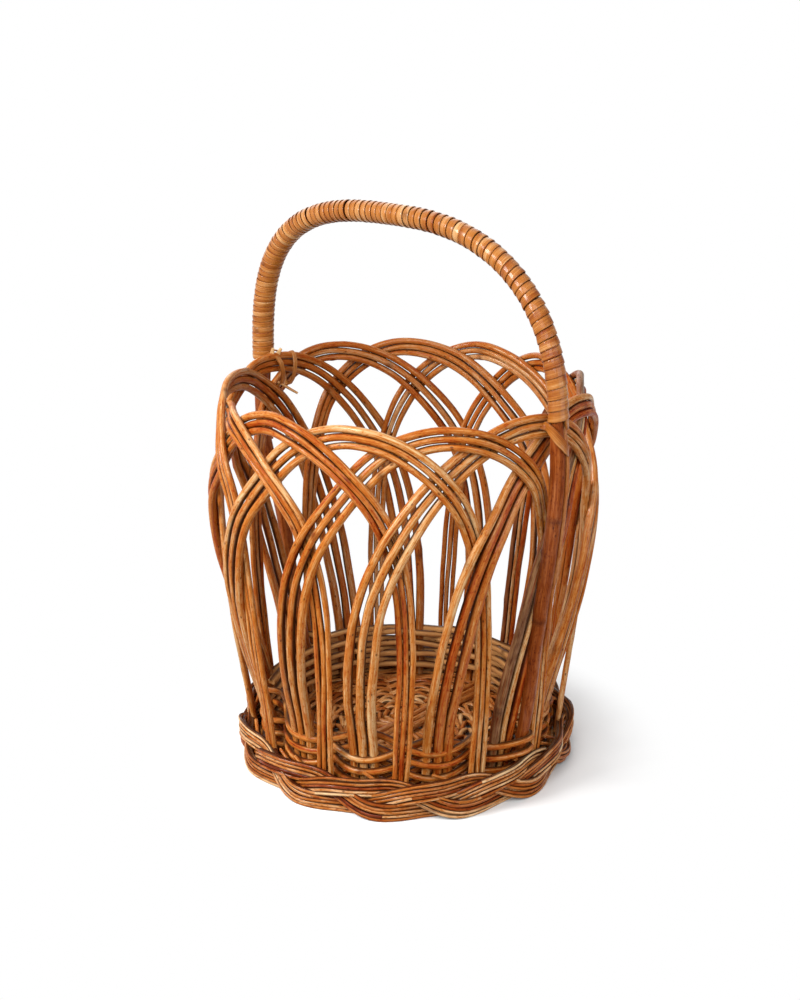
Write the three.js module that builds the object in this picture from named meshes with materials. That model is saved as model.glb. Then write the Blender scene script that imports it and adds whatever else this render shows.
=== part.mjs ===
// Round willow basket with an open side of crossing arches, a plaited foot and a bound bow handle.
// Millimetres, +Z up. The origin is on the ground at the middle of the foot, and the handle runs along X.
import * as THREE from "three";

// Stations are the places around the foot where one group of rods rises and another comes down.
const stationCount = 13;
const rodsPerArch = 3;
const archSpan = 3; // stations from an arch's rising leg to its falling leg
const apexStation = 1.8; // stations from the rising leg to the top of the arch
const handleStation = 4; // station at the right end of the handle
const handleLead = -2.2; // degrees from +X to the handle's station

// Rods taper from the butt, which rises, to the tip, which comes down.
const buttDiameter = 4.4;
const tipDiameter = 2.8;
const rodGap = 0.35; // between neighbouring rods of one group
const layerGap = 0.7; // between rods that cross

// Wall
const stakeRadius = 72; // upright rods inside the weave at the foot
const bellyRadius = 95;
const bellyHeight = 142;
const wallFlare = 2.4; // more makes the wall leave the weave at a flatter slope
const rimRadius = 90;
const rimHeight = 192.5; // middle rod at the top of an arch
const buttSpring = 60; // height where the rising leg starts to lean
const tipSpring = 100; // height where the falling leg hangs straight
const buttDistance = 8.7; // rising group's middle before its station, along the wall

// Weave round the foot
const weaverDiameter = 4;
const weaveTurns = 6;
const weaveRowGap = 0.4;
const weaverCount = 3;
const weaveClearance = 0.55;

// Plaited foot
const plaitHeight = 21;
const strandThickness = 4.4;
const strandWidth = 7;
const plaitGap = 0.8;
const plaitClearance = 0.55; // between the plait and the weave
const strandCount = 3;

// Floor
const floorStickDiameter = 4;
const floorSticksPerLayer = 3;
const floorWeaverDiameter = 4;
const floorGap = 0.4;
const floorLift = 2.4; // ground to the underside of the floor
const floorHeart = 17; // radius where the floor weave begins

// Handle
const bowDiameter = 5.8;
const bowFootDiameter = 4;
const companionDiameter = 3;
const bundleGap = 0.3;
const bowTop = 283; // middle of the handle at its highest point
const handlePlane = -5; // the handle stands in front of the middle, towards -Y
const rightSquareness = 2.4; // 2 is an ellipse, more is squarer
const leftSquareness = 3;
const companionFoot = 150; // height where the companion rods end
const wrapThickness = 0.9;
const wrapLoops = 24;
const wrapGap = 1.3; // between turns, at the middle of the handle
const wrapStart = 8; // above the rim, where the binding begins
const tieDiameter = 2;
const tieGap = 0.35;
const tieCorner = 0.25; // 1 is an ellipse, less is squarer
const rightTieDrop = 20.5; // lowest point of the tie, below the rim
const leftTieDrop = 20.5;
const leftTieSpread = 7; // extra slant of the left tie, sideways

const stationAngle = (2 * Math.PI) / stationCount;
const weaveFoot = floorLift + floorStickDiameter;
const weaveRowHeight = weaverDiameter + weaveRowGap;
const waleTop = weaveFoot + (weaveTurns + 0.5) * weaveRowHeight;
const weaveSwing = (buttDiameter + weaverDiameter) / 2 + weaveClearance;
const tipRadius = stakeRadius + weaveSwing + (weaverDiameter + tipDiameter) / 2 + rodGap;
const stakeFoot = weaveFoot;
const tipFoot = plaitHeight + rodGap;

const willow = (colour) => new THREE.MeshStandardMaterial({ color: colour, roughness: 0.45, metalness: 0 });
const archColour = 0xa8622b;
const waleColour = 0xb98a4e;
const plaitColour = 0x9c5a28;
const floorColour = 0x96602f;
const handleColour = 0x7d4420;
const skeinColour = 0xb9743a;

const smooth = (t) => t * t * (3 - 2 * t);
const mix = (a, b, t) => a + (b - a) * t;
const clamp = (t, low, high) => Math.min(high, Math.max(low, t));
const polar = (radius, angle, z) =>
  new THREE.Vector3(radius * Math.cos(angle), radius * Math.sin(angle), z);
const pitchOf = (diameter) => diameter + rodGap;

// A closed solid through rings of points, capped at both ends or joined end to end.
function skin(rings, endless = false) {
  const sides = rings[0].length;
  const points = rings.flat();
  const faces = [];
  const last = endless ? rings.length : rings.length - 1;
  for (let ring = 0; ring < last; ring++) {
    const next = (ring + 1) % rings.length;
    for (let side = 0; side < sides; side++) {
      const beside = (side + 1) % sides;
      const [a, b] = [ring * sides + side, ring * sides + beside];
      const [c, d] = [next * sides + beside, next * sides + side];
      faces.push(a, b, c, a, c, d);
    }
  }
  if (!endless) {
    const end = (rings.length - 1) * sides;
    for (let side = 1; side < sides - 1; side++) {
      faces.push(0, side + 1, side, end, end + side, end + side + 1);
    }
  }
  return new THREE.BufferGeometry().setFromPoints(points).setIndex(faces);
}

// A rod along a path: centre(s) gives its middle and out(s) a direction that its section keeps to.
// section(s) lists the corners as [outwards, sideways], anticlockwise.
function sweep(steps, centre, out, section, endless = false) {
  const nudge = 1e-3;
  const rings = [];
  for (let step = 0; step < (endless ? steps : steps + 1); step++) {
    const before = endless ? step - nudge : Math.max(0, step - nudge);
    const after = endless ? step + nudge : Math.min(steps, step + nudge);
    const along = centre(after).sub(centre(before)).normalize();
    const outwards = out(step).clone();
    outwards.addScaledVector(along, -outwards.dot(along)).normalize();
    const sideways = new THREE.Vector3().crossVectors(along, outwards);
    const middle = centre(step);
    const corner = ([n, b]) => middle.clone().addScaledVector(outwards, n).addScaledVector(sideways, b);
    rings.push(section(step).map(corner));
  }
  return skin(rings, endless);
}

function roundSection(diameter, sides) {
  return Array.from({ length: sides }, (_, side) => {
    const turn = (2 * Math.PI * side) / sides;
    return [(diameter / 2) * Math.cos(turn), (diameter / 2) * Math.sin(turn)];
  });
}

// Steps along an arch rod: rising leg, rising arc, falling arc, falling leg.
const legSteps = 3;
const risingSteps = 8;
const fallingSteps = 7;
const archSteps = legSteps + risingSteps + fallingSteps + legSteps;
const apexStep = legSteps + risingSteps;
const quarter = Math.PI / 2;

// Rods keep most of their thickness over the top and thin out towards the tip.
const rodDiameter = (step) => mix(buttDiameter, tipDiameter, (step / archSteps) ** 2);
const apexDiameter = rodDiameter(apexStep);
const layerOffset = (apexDiameter + layerGap) / 2;
const outermostOffset = layerOffset + buttDiameter / 2;

// Middle of the wall, halfway between rods that pass outside and rods that pass inside.
function wallRadius(z) {
  if (z <= waleTop) return stakeRadius;
  if (z <= bellyHeight) {
    const rise = (z - waleTop) / (bellyHeight - waleTop);
    return bellyRadius - (bellyRadius - stakeRadius) * (1 - rise) ** wallFlare;
  }
  const fall = (z - bellyHeight) / (rimHeight - bellyHeight);
  return bellyRadius - (bellyRadius - rimRadius) * fall * fall;
}

// Length of a level step that moves 1 mm square to the wall.
const wallLean = (z) => Math.hypot(1, wallRadius(z + 0.5) - wallRadius(z - 0.5));

// Arches. Rank runs from the innermost rod of a group to the outermost, with the middle rod at 0.
const rankOf = (rod) => rod - (rodsPerArch - 1) / 2;
const topRank = rankOf(rodsPerArch - 1);
const apexAngle = apexStation * stationAngle;
const buttAngle = (rank) => -(buttDistance + rank * pitchOf(buttDiameter)) / stakeRadius;

// A falling group hangs midway between two rising groups.
const risingStart = buttAngle(topRank) - buttDiameter / 2 / stakeRadius;
const risingEnd = buttAngle(-topRank) + buttDiameter / 2 / stakeRadius;
const tipMiddle = (risingEnd + stationAngle + risingStart) / 2;
const tipAngle = (rank) => archSpan * stationAngle + tipMiddle + (rank * pitchOf(tipDiameter)) / tipRadius;
const apexHeight = (rank) => rimHeight + rank * pitchOf(apexDiameter);

// Each arch is a quarter ellipse up, a quarter ellipse down and two legs. Turn is the angle on the ellipse.
function risingArc(rank, turn) {
  const z = mix(buttSpring, apexHeight(rank), Math.sin(turn));
  return { angle: mix(buttAngle(rank), apexAngle, 1 - Math.cos(turn)), z };
}
function fallingArc(rank, turn) {
  const z = mix(tipSpring, apexHeight(rank), Math.sin(turn));
  return { angle: mix(tipAngle(rank), apexAngle, 1 - Math.cos(turn)), z };
}
const turnAt = (spring, rank, z) => Math.asin(clamp((z - spring) / (apexHeight(rank) - spring), 0, 1));

// Height where a rising rod crosses a falling rod of the arch that started some stations earlier.
function crossingHeight(risingRank, fallingRank, stationsApart) {
  let low = waleTop;
  let high = Math.min(apexHeight(risingRank), apexHeight(fallingRank));
  for (let round = 0; round < 40; round++) {
    const z = (low + high) / 2;
    const rising = risingArc(risingRank, turnAt(buttSpring, risingRank, z)).angle;
    const falling = fallingArc(fallingRank, turnAt(tipSpring, fallingRank, z)).angle;
    if (rising < falling - stationsApart * stationAngle) low = z;
    else high = z;
  }
  return (low + high) / 2;
}

const risingStep = (rank, z) => legSteps + (turnAt(buttSpring, rank, z) / quarter) * risingSteps;
const fallingStep = (rank, z) => apexStep + (1 - turnAt(tipSpring, rank, z) / quarter) * fallingSteps;

function archPlace(rank, step) {
  const legTop = legSteps - 1;
  if (step <= 1) return { angle: buttAngle(rank), z: mix(stakeFoot, waleTop, step) };
  if (step <= legSteps) return { angle: buttAngle(rank), z: mix(waleTop, buttSpring, (step - 1) / legTop) };
  if (step <= apexStep) return risingArc(rank, ((step - legSteps) / risingSteps) * quarter);
  const fallen = step - apexStep - fallingSteps;
  if (fallen <= 0) return fallingArc(rank, (-fallen / fallingSteps) * quarter);
  if (fallen <= legTop) return { angle: tipAngle(rank), z: mix(tipSpring, waleTop, fallen / legTop) };
  return { angle: tipAngle(rank), z: mix(waleTop, tipFoot, fallen - legTop) };
}

// How far a rod stands out from the middle of the wall, as stops along it. A rising rod leaves the weave,
// passes outside the falling rods of its own station and inside the next two groups. After the top it passes
// outside two groups, inside the last, and outside the weave.
function layerStops(rank) {
  const risingLow = risingStep(rank, crossingHeight(rank, topRank, archSpan));
  const risingMid = risingStep(rank, crossingHeight(rank, -topRank, archSpan - 1));
  const risingHigh = risingStep(rank, crossingHeight(rank, topRank, 1));
  const fallingHigh = fallingStep(rank, crossingHeight(topRank, rank, 1));
  const fallingMid = fallingStep(rank, crossingHeight(-topRank, rank, archSpan - 1));
  const fallingLow = fallingStep(rank, crossingHeight(topRank, rank, archSpan));
  const share = 0.3; // part of the way between two crossings that keeps the layer of the nearer one
  return [
    [0, 0],
    [1, 0],
    [legSteps, layerOffset],
    [mix(risingLow, risingMid, share), layerOffset],
    [mix(risingMid, risingLow, share), -layerOffset],
    [mix(risingHigh, fallingHigh, share), -layerOffset],
    [mix(fallingHigh, risingHigh, share), layerOffset],
    [mix(fallingMid, fallingLow, share), layerOffset],
    [mix(fallingLow, fallingMid, share), -layerOffset],
    [apexStep + fallingSteps, -layerOffset],
    [archSteps - 1, tipRadius - stakeRadius],
    [archSteps, tipRadius - stakeRadius],
  ];
}

function along(stops, position) {
  const next = stops.findIndex(([place]) => place >= position);
  if (next <= 0) return stops[Math.max(0, next)][1];
  const [[from, start], [to, end]] = [stops[next - 1], stops[next]];
  return mix(start, end, smooth((position - from) / (to - from)));
}

// Handle bundle: the bow rod and two thinner companions, side by side inside the binding.
const bowShift = -(companionDiameter + bundleGap) / 2;
const companionShift = bowShift + (bowDiameter + companionDiameter) / 2 + bundleGap;
const companionLift = (companionDiameter + bundleGap) / 2;
const bundleReach = companionLift + companionDiameter / 2;
const bundleOffset = outermostOffset + rodGap + bundleReach;

// The handle's right foot stands in the middle of the gap between the two groups of its station, and its
// left foot in the middle of the gap between two stations.
const fallingHalf = (topRank * pitchOf(tipDiameter) + tipDiameter / 2) / tipRadius;
const stationAt = (station) =>
  THREE.MathUtils.degToRad(handleLead) + (station - handleStation) * stationAngle;
const oppositeStation = handleStation + (stationCount - 1) / 2;
const rightFootAngle = stationAt(handleStation) + (risingEnd + tipMiddle - fallingHalf) / 2;
const leftFootAngle =
  stationAt(oppositeStation) + (tipMiddle + fallingHalf + stationAngle + risingStart) / 2;

const archRodSides = 5;
function archRod(arch, rank) {
  const stops = layerStops(rank);
  const centre = (step) => {
    const { angle, z } = archPlace(rank, step);
    return polar(wallRadius(z) + along(stops, step) * wallLean(z), stationAt(arch) + angle, z);
  };
  const out = (step) => polar(1, stationAt(arch) + archPlace(rank, step).angle, 0);
  const section = (step) => roundSection(rodDiameter(step), archRodSides);
  return sweep(archSteps, centre, out, section);
}

// Bow of the handle
const bowHalfSpan = wallRadius(rimHeight) + bundleOffset;
const bowRise = bowTop - rimHeight;

// Middle of the bow in its own plane. Turn runs from 0 at the right end to half a turn at the left end.
function bowPlace(turn) {
  const power = 2 / (Math.cos(turn) > 0 ? rightSquareness : leftSquareness);
  const reach = Math.sign(Math.cos(turn)) * Math.abs(Math.cos(turn)) ** power;
  return new THREE.Vector3(bowHalfSpan * reach, handlePlane, rimHeight + bowRise * Math.sin(turn) ** power);
}

// Equal steps along the bow, from its right end to its left end.
const bowPoints = 33;
const bowCurve = new THREE.CatmullRomCurve3(
  Array.from({ length: bowPoints }, (_, index) => bowPlace((Math.PI * index) / (bowPoints - 1))),
);
function bowFrame(share) {
  const middle = bowCurve.getPointAt(share);
  const tangent = bowCurve.getTangentAt(share);
  const sideways = new THREE.Vector3(0, 1, 0);
  return { middle, sideways, outwards: new THREE.Vector3().crossVectors(sideways, tangent) };
}

const bowSteps = 22;
const handleLegSteps = 6;
const weaveClear = waleTop + weaverDiameter / 2;
const swellEnd = (buttSpring + bellyHeight) / 2; // height where the tapered foot reaches the full rod

// One rod of the handle, lifted outwards and shifted sideways in the bundle, from right foot to left foot.
function handleRod(lift, shift, footHeights, footAngles, diameterAt, sides) {
  const legSpan = footHeights.length;
  const legPlace = (up, side) => {
    const floor = Math.min(Math.floor(up), legSpan - 1);
    const z = mix(footHeights[floor], footHeights[floor + 1] ?? rimHeight, up - floor);
    const leave = smooth(clamp((z - weaveClear) / (buttSpring - weaveClear), 0, 1));
    const radius = mix(stakeRadius, wallRadius(z) + bundleOffset + lift, leave);
    const footAngle = side > 0 ? footAngles[0] : footAngles[1];
    const straighten = clamp((z - buttSpring) / (companionFoot - buttSpring), 0, 1);
    const across = mix(radius * Math.sin(footAngle), handlePlane + shift, straighten);
    return new THREE.Vector3(side * radius, across, z);
  };
  const bowEnd = legSpan + bowSteps;
  const centre = (step) => {
    if (step < legSpan) return legPlace(step, 1);
    if (step > bowEnd) return legPlace(bowEnd + legSpan - step, -1);
    const { middle, sideways, outwards } = bowFrame((step - legSpan) / bowSteps);
    return middle.addScaledVector(outwards, lift).addScaledVector(sideways, shift);
  };
  const section = (step) => roundSection(diameterAt(centre(step).z), sides);
  return sweep(bowEnd + legSpan, centre, () => new THREE.Vector3(0, 1, 0), section);
}

function bowRod() {
  const swell = (z) => smooth(clamp((z - buttSpring) / (swellEnd - buttSpring), 0, 1));
  const diameterAt = (z) => mix(bowFootDiameter, bowDiameter, swell(z));
  const climb = Array.from({ length: handleLegSteps }, (_, step) =>
    mix(weaveClear, companionFoot, step / (handleLegSteps - 1)),
  );
  const heights = [stakeFoot, ...climb, (companionFoot + rimHeight) / 2];
  return handleRod(0, bowShift, heights, [rightFootAngle, leftFootAngle], diameterAt, 8);
}
function companionRod(lift) {
  const heights = [companionFoot, (companionFoot + rimHeight) / 2];
  return handleRod(lift, companionShift, heights, [0, 0], () => companionDiameter, 6);
}

// Binding: one flat skein wound round the bundle, its edges square to the bow.
const bindingReach = Math.hypot(companionShift, companionLift) + companionDiameter / 2;
const wrapInner = bindingReach + bundleGap;
const wrapLoopSteps = 12;
function handleWrap() {
  const length = bowCurve.getLength();
  const [first, last] = [wrapStart / length, 1 - wrapStart / length];
  const pitch = (last - first) / wrapLoops;
  const halfWidth = pitch / 2 - wrapGap / 2 / length;
  const steps = wrapLoops * wrapLoopSteps;
  const rings = [];
  for (let step = 0; step <= steps; step++) {
    const turn = (2 * Math.PI * step) / wrapLoopSteps;
    const middle = mix(first + pitch / 2, last - pitch / 2, step / steps);
    const corner = (reach, edge) => {
      const frame = bowFrame(middle + edge * halfWidth);
      return frame.middle
        .addScaledVector(frame.outwards, reach * Math.cos(turn))
        .addScaledVector(frame.sideways, reach * Math.sin(turn));
    };
    const inner = wrapInner / Math.cos(Math.PI / wrapLoopSteps);
    const outer = inner + wrapThickness;
    rings.push([corner(inner, -1), corner(inner, 1), corner(outer, 1), corner(outer, -1)]);
  }
  let leastGap = Infinity;
  for (let step = 0; step + wrapLoopSteps < rings.length; step++) {
    const next = rings[step + wrapLoopSteps];
    leastGap = Math.min(leastGap, rings[step][1].distanceTo(next[0]), rings[step][2].distanceTo(next[3]));
  }
  console.log("least gap between turns of the handle binding: " + leastGap.toFixed(2) + " mm");
  return skin(rings);
}

// Weave round the foot. A weaver passes outside one upright group and inside the next, and the handle's
// feet count with the groups beside them.
function weaveObstacles() {
  const margin = (weaverDiameter / 2 + rodGap) / 2;
  return Array.from({ length: stationCount }, (_, station) => {
    const half = (buttDiameter / 2 + margin) / stakeRadius;
    const footHalf = (bowFootDiameter / 2 + margin) / stakeRadius;
    let start = stationAt(station) + buttAngle(topRank) - half;
    let end = stationAt(station) + buttAngle(-topRank) + half;
    if (station === handleStation) end = rightFootAngle + footHalf;
    if (station === oppositeStation + 1) start = leftFootAngle - footHalf;
    return { start, end };
  });
}

const stepsPerGroup = 4; // start, middle and end of a group, and halfway to the next
const groupsPerWeaver = (stationCount * weaveTurns) / weaverCount;
const obstacles = weaveObstacles();

function weaver(index) {
  const groupAt = (count) => {
    const { start, end } = obstacles[count % stationCount];
    const turned = Math.floor(count / stationCount) * 2 * Math.PI;
    return { start: start + turned, end: end + turned };
  };
  const place = (step) => {
    const count = index * groupsPerWeaver + Math.floor(step / stepsPerGroup);
    const within = step % stepsPerGroup;
    const side = count % 2 === 0 ? weaveSwing : -weaveSwing;
    const group = groupAt(count);
    const next = groupAt(count + 1);
    if (within <= 2) return { angle: mix(group.start, group.end, within / 2), offset: side };
    const crossed = (within - 2) / 2;
    return { angle: mix(group.end, next.start, crossed), offset: mix(side, -side, crossed) };
  };
  const centre = (step) => {
    const { angle, offset } = place(step);
    const turned = (angle - obstacles[0].start) / (2 * Math.PI);
    return polar(stakeRadius + offset, angle, weaveFoot + weaveRowHeight * (turned + 0.5));
  };
  const out = (step) => polar(1, place(step).angle, 0);
  return sweep(groupsPerWeaver * stepsPerGroup - 1, centre, out, () => roundSection(weaverDiameter, 4));
}

// Plaited foot: three flat strands, each once round. Every strand ends where the next one begins.
const plaitSteps = 4 * stationCount;
const plaitSwing = (strandThickness + plaitGap) / Math.sqrt(strandCount);
const weaveOuter = stakeRadius + weaveSwing + weaverDiameter / 2;
const plaitRadius = weaveOuter + plaitClearance + strandThickness / 2 + plaitSwing;
const plaitClimb = (plaitHeight - strandWidth) / 2;
const strandFlat = 0.3; // half width of the flat edge of a strand, as a part of its thickness
const lobeFullness = 1.2; // flattens the edges of the plait, so that it stands on them

function plaitStrand(index) {
  const phase = (step) => (2 * Math.PI * ((stationCount * step) / plaitSteps + index)) / strandCount;
  const angleAt = (step) => (2 * Math.PI * step) / plaitSteps;
  const centre = (step) => {
    const climb = clamp(lobeFullness * Math.sin(phase(step)), -1, 1);
    const radius = plaitRadius + plaitSwing * Math.sin(2 * phase(step));
    return polar(radius, angleAt(step), plaitHeight / 2 + plaitClimb * climb);
  };
  const [half, edge, flat] = [strandThickness / 2, strandWidth / 2, strandThickness * strandFlat];
  const section = [[half, 0], [flat, edge], [-flat, edge], [-half, 0], [-flat, -edge], [flat, -edge]];
  return sweep(plaitSteps - 0.1, centre, (step) => polar(1, angleAt(step), 0), () => section);
}

// Floor: two crossed layers of sticks and one weaver wound out from the heart, over one layer and under the
// other.
const floorEdge = stakeRadius - weaveSwing - weaverDiameter / 2 - floorGap;
const lowerStickHeight = floorLift + floorStickDiameter / 2;
const layerStep = floorStickDiameter + floorGap;

function floorStick(layer, place) {
  const offset = (place - (floorSticksPerLayer - 1) / 2) * layerStep;
  const stick = new THREE.CylinderGeometry(floorStickDiameter / 2, floorStickDiameter / 2, 1, 8);
  const length = 2 * Math.sqrt(floorEdge ** 2 - (Math.abs(offset) + floorStickDiameter / 2) ** 2);
  stick.scale(1, length, 1);
  if (layer === 0) stick.rotateZ(quarter);
  const [x, y] = layer === 0 ? [0, offset] : [offset, 0];
  return stick.translate(x, y, lowerStickHeight + layer * layerStep);
}

function floorWeaver() {
  const stepsPerTurn = 16;
  const waveFullness = 1.5; // keeps the weaver level over and under the sticks
  const pitch = floorWeaverDiameter + floorGap;
  const outer = floorEdge - floorWeaverDiameter / 2;
  const steps = Math.floor(((outer - floorHeart) / pitch) * stepsPerTurn);
  const angleAt = (step) => (2 * Math.PI * step) / stepsPerTurn;
  const centre = (step) => {
    const wave = clamp(waveFullness * Math.cos(2 * angleAt(step)), -1, 1);
    const z = lowerStickHeight + (layerStep / 2) * (1 + wave);
    return polar(floorHeart + (pitch * step) / stepsPerTurn, angleAt(step), z);
  };
  const section = roundSection(floorWeaverDiameter, 4);
  return sweep(steps, centre, (step) => polar(1, angleAt(step), 0), () => section);
}

// Ties: a slanting loop of skein round the handle and the arch tops behind it.
const tieSteps = 16;
function rimTie(side, drop, spread) {
  const lowest = rimHeight - drop;
  const clear = tieGap + tieDiameter / 2;
  const reach = wrapInner / Math.cos(Math.PI / wrapLoopSteps) + wrapThickness + clear;
  const wall = [wallRadius(lowest), rimRadius];
  const inside = Math.min(...wall) - outermostOffset * wallLean(rimHeight) - clear;
  const outside = Math.max(...wall) + bundleOffset + bundleReach + clear;
  const highest = apexHeight(topRank) + apexDiameter / 2 + clear;
  const squared = (value) => (1 + Math.sign(value) * Math.abs(value) ** tieCorner) / 2;
  const centre = (step) => {
    const turn = (2 * Math.PI * (step + 0.5)) / tieSteps;
    const [outwards, upwards] = [squared(Math.cos(turn)), squared(Math.sin(turn))];
    const across = handlePlane + mix(reach + spread, -reach, upwards);
    return new THREE.Vector3(side * mix(inside, outside, outwards), across, mix(lowest, highest, upwards));
  };
  const out = () => new THREE.Vector3(0, 1, 0);
  return sweep(tieSteps, centre, out, () => roundSection(tieDiameter, 5), true);
}

const basket = new THREE.Group();
basket.name = "willow_basket";
function add(name, geometry, colour) {
  const mesh = new THREE.Mesh(geometry, willow(colour));
  mesh.name = name;
  geometry.computeVertexNormals();
  basket.add(mesh);
}

const rodNames = ["inner", "middle", "outer"];
for (let arch = 0; arch < stationCount; arch++) {
  for (let rod = 0; rod < rodsPerArch; rod++) {
    const number = String(arch + 1).padStart(2, "0");
    add("arch_" + number + "_" + rodNames[rod], archRod(arch, rankOf(rod)), archColour);
  }
}
for (let index = 0; index < weaverCount; index++) {
  add("wale_weaver_" + (index + 1), weaver(index), waleColour);
}
for (let index = 0; index < strandCount; index++) {
  add("plait_strand_" + (index + 1), plaitStrand(index), plaitColour);
}
for (let place = 0; place < floorSticksPerLayer; place++) {
  add("floor_stick_under_" + (place + 1), floorStick(0, place), floorColour);
  add("floor_stick_over_" + (place + 1), floorStick(1, place), floorColour);
}
add("floor_weaver", floorWeaver(), floorColour);
add("handle_bow", bowRod(), handleColour);
add("handle_companion_inner", companionRod(-companionLift), handleColour);
add("handle_companion_outer", companionRod(companionLift), handleColour);
add("handle_wrap", handleWrap(), skeinColour);
add("rim_tie_right", rimTie(1, rightTieDrop, 0), skeinColour);
add("rim_tie_left", rimTie(-1, leftTieDrop, leftTieSpread), skeinColour);

export default basket;
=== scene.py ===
import math
import random
import bpy
import numpy as np
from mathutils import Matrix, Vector


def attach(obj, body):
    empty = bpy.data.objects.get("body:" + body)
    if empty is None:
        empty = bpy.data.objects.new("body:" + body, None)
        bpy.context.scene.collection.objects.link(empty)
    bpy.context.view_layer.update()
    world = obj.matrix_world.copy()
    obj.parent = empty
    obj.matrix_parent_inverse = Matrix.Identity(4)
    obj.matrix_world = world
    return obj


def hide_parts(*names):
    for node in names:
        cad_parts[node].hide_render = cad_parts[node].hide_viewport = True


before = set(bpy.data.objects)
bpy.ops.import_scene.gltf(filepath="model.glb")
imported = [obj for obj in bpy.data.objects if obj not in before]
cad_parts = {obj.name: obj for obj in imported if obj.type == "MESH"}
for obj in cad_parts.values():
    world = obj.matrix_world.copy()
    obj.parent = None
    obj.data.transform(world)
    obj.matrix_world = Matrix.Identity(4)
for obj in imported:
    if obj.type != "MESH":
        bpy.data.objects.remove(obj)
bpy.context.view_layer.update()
print("frame loaded,", len(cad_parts), "solids")

mm = 0.001
turn = 2 * math.pi
quarter = math.pi / 2
chance = random.Random(41)
azimuth = math.radians(41.5)  # the photograph looks from this side
toRight = np.array((math.cos(azimuth), math.sin(azimuth), 0))
toCamera = np.array((math.sin(azimuth), -math.cos(azimuth), 0))


def mix(a, b, t):
    return a + (b - a) * t


def clamp(t, low=0.0, high=1.0):
    return min(high, max(low, t))


def smooth(t):
    t = clamp(t)
    return t * t * (3 - 2 * t)


def band(z, low, rise, top, fall):  # grows above low and fades out towards top
    return smooth((z - low) / rise) * smooth((top - z) / fall)


def hill(off, width):
    return math.exp(-(off / width) ** 2)


def polar(radius, angle, z):
    return np.array((radius * math.cos(angle), radius * math.sin(angle), z))


def between(angle, other):  # the short way round
    return (angle - other + math.pi) % turn - math.pi


def unit(vectors):
    return vectors / np.linalg.norm(vectors, axis=1)[:, None]


def distances(points):
    return np.concatenate(([0], np.cumsum(np.linalg.norm(np.diff(points, axis=0), axis=1))))


def sample(at, marks, spots):  # places between the given ones
    return np.stack([np.interp(at, marks, spots[:, axis]) for axis in range(3)], -1)


# Finishes

def stain(hexColour):  # a written colour, as light
    parts = [int(hexColour[i:i + 2], 16) / 255 for i in (0, 2, 4)]
    return tuple(c / 12.92 if c <= 0.04045 else ((c + 0.055) / 1.055) ** 2.4 for c in parts) + (1.0,)


class Wire:  # a socket that can be reckoned with
    def __init__(self, finish, socket):
        self.finish = finish
        self.socket = socket

    def reckon(self, operation, *values):
        return self.finish.node("ShaderNodeMath", {"operation": operation}, dict(enumerate(values)))

    def also(self, output):  # another output of the same node
        return Wire(self.finish, self.socket.node.outputs[output])

    def __add__(self, other):
        return self.reckon("ADD", self, other)

    def __radd__(self, other):
        return self.reckon("ADD", other, self)

    def __sub__(self, other):
        return self.reckon("SUBTRACT", self, other)

    def __rsub__(self, other):
        return self.reckon("SUBTRACT", other, self)

    def __mul__(self, other):
        return self.reckon("MULTIPLY", self, other)

    def __rmul__(self, other):
        return self.reckon("MULTIPLY", other, self)

    def __lt__(self, other):
        return self.reckon("LESS_THAN", self, other)

    def __gt__(self, other):
        return self.reckon("GREATER_THAN", self, other)


class Finish:  # the nodes of one material, or of the world
    def __init__(self, owner):
        self.owner = owner
        owner.use_nodes = True
        self.tree = owner.node_tree
        self.tree.nodes.clear()

    def node(self, kind, settings=None, inputs=None, output=0):
        made = self.tree.nodes.new(kind)
        for key, value in (settings or {}).items():
            if key == "stops":
                while len(made.color_ramp.elements) < len(value):
                    made.color_ramp.elements.new(0.5)
                for element, (position, colour) in zip(made.color_ramp.elements, value):
                    element.position = position
                    element.color = colour
            else:
                setattr(made, key, value)
        for key, value in (inputs or {}).items():
            if isinstance(value, Wire):
                self.tree.links.new(value.socket, made.inputs[key])
            else:
                made.inputs[key].default_value = value
        return Wire(self, made.outputs[output]) if len(made.outputs) else made

    def attribute(self, name, output):
        return self.node("ShaderNodeAttribute", {"attribute_name": name}, None, output)

    def parts(self, vector):
        split = self.node("ShaderNodeSeparateXYZ", None, {0: vector})
        return [split.also(axis) for axis in range(3)]

    def stretch(self, vector, sizes):
        return self.node("ShaderNodeVectorMath", {"operation": "MULTIPLY"}, {0: vector, 1: sizes})

    def noise(self, vector, sizes, detail, roughness):
        stretched = self.stretch(vector, sizes)
        sockets = {"Vector": stretched, "Scale": 1.0, "Detail": detail, "Roughness": roughness}
        return self.node("ShaderNodeTexNoise", None, sockets)

    def ease(self, value, low, high):  # 0 at low, 1 at high
        sockets = {"Value": value, "From Min": low, "From Max": high}
        return self.node("ShaderNodeMapRange", {"interpolation_type": "SMOOTHSTEP"}, sockets)

    def blend(self, share, first, second):
        return self.node("ShaderNodeMix", {"data_type": "RGBA"}, {0: share, 6: first, 7: second}, 2)

    def ramp(self, share, look, stops):  # from stain to stain
        colours = [(position, stain(look[key])) for position, key in stops]
        return self.node("ShaderNodeValToRGB", {"stops": colours}, {0: share})

    def close(self, constants, links):  # the shader and its output
        shader = self.node("ShaderNodeBsdfPrincipled", None, {**constants, **links})
        self.node("ShaderNodeOutputMaterial", None, {"Surface": shader})
        return self.owner


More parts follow.
